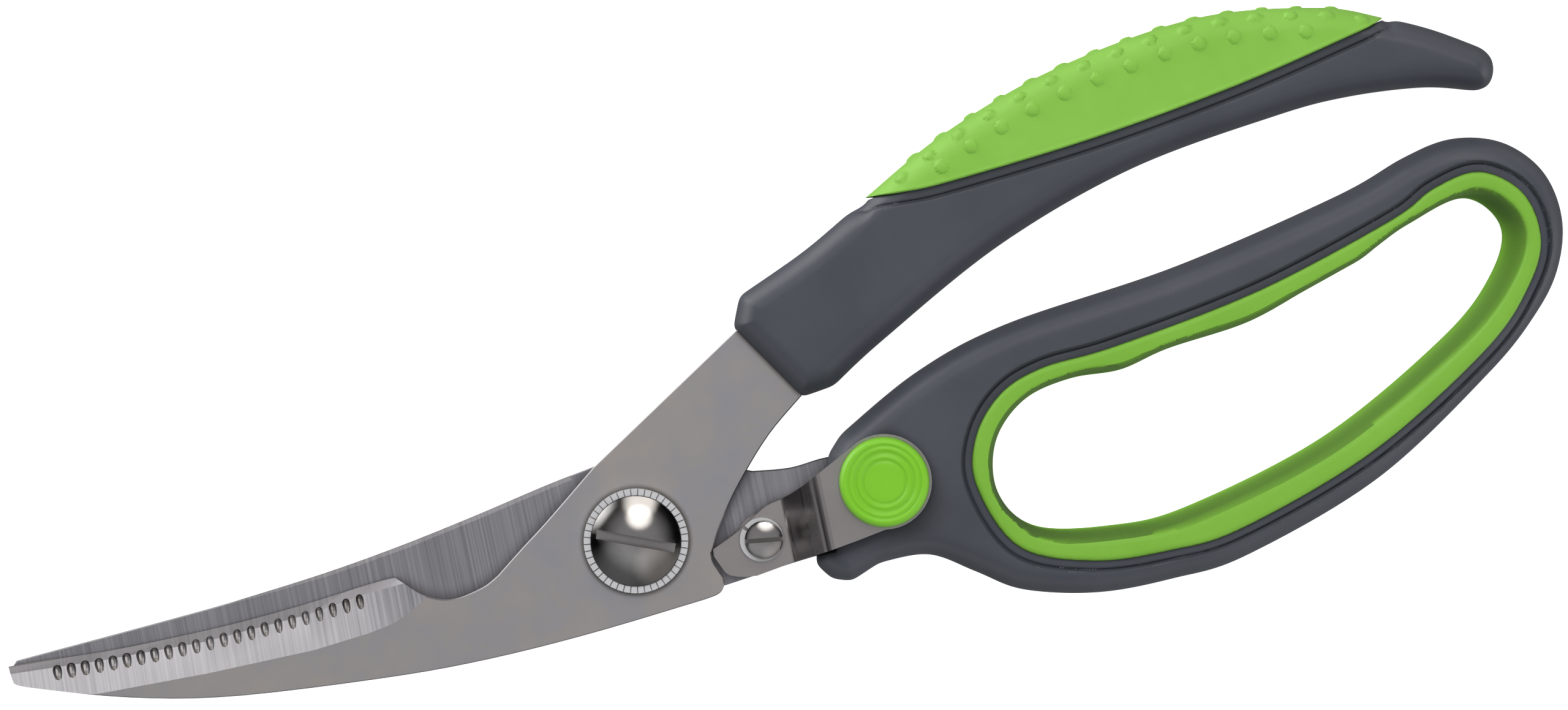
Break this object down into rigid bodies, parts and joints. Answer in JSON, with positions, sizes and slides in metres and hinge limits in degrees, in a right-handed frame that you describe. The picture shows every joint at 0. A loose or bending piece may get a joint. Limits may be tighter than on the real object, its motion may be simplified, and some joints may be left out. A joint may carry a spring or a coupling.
{
  "type": "poultry shears",
  "caption": "Poultry shears: serrated notched jaw over a plain jaw, slotted pivot nut, cranked thumb latch with round button, padded handle and lined ring handle.",
  "frame": {"origin": "on the pivot axis, at the flat back of the pivot bolt's head", "axes": "+X from the blade tips to the handles along the shears, +Y up across the handles, +Z out of the front face, along the pivot"},
  "size_m": [0.2537, 0.0853, 0.02],
  "materials": {
    "blade_steel": "fine satin, ground lines across the bevels",
    "fitting_steel": "satin",
    "polished_steel": "mirror polished",
    "grey_plastic": "fine moulded texture, satin",
    "green_rubber": "soft matte",
    "green_plastic": "satin, slightly translucent at the rim"
  },
  "bodies": {
    "rear_half": {"rear_blade": "blade_steel", "loop_handle_body": "grey_plastic", "loop_liner": "green_rubber", "pivot_bolt": "fitting_steel", "pivot_washer": "fitting_steel", "opening_spring": "fitting_steel", "pivot_cap_nut": "polished_steel", "latch_screw": "polished_steel", "latch_lock_washer": "polished_steel", "latch_washer": "fitting_steel"},
    "front_half": {"front_blade": "blade_steel", "upper_handle_body": "grey_plastic", "upper_grip_pad": "green_rubber", "toothed_ring": "fitting_steel"},
    "latch": {"latch_plate": "fitting_steel", "latch_button": "green_plastic", "button_rivet": "fitting_steel"}
  },
  "joints": [
    {"name": "blade_pivot", "type": "hinge", "parent": "rear_half", "child": "front_half", "pos_m": [0, 0, 0.00545], "axis": [0, 0, 1], "range_deg": [0, 35]},
    {"name": "latch_pivot", "type": "hinge", "parent": "rear_half", "child": "latch", "pos_m": [0.01965, -0.00405, 0.00545], "axis": [0, 0, 1], "range_deg": [0, 36]}
  ]
}
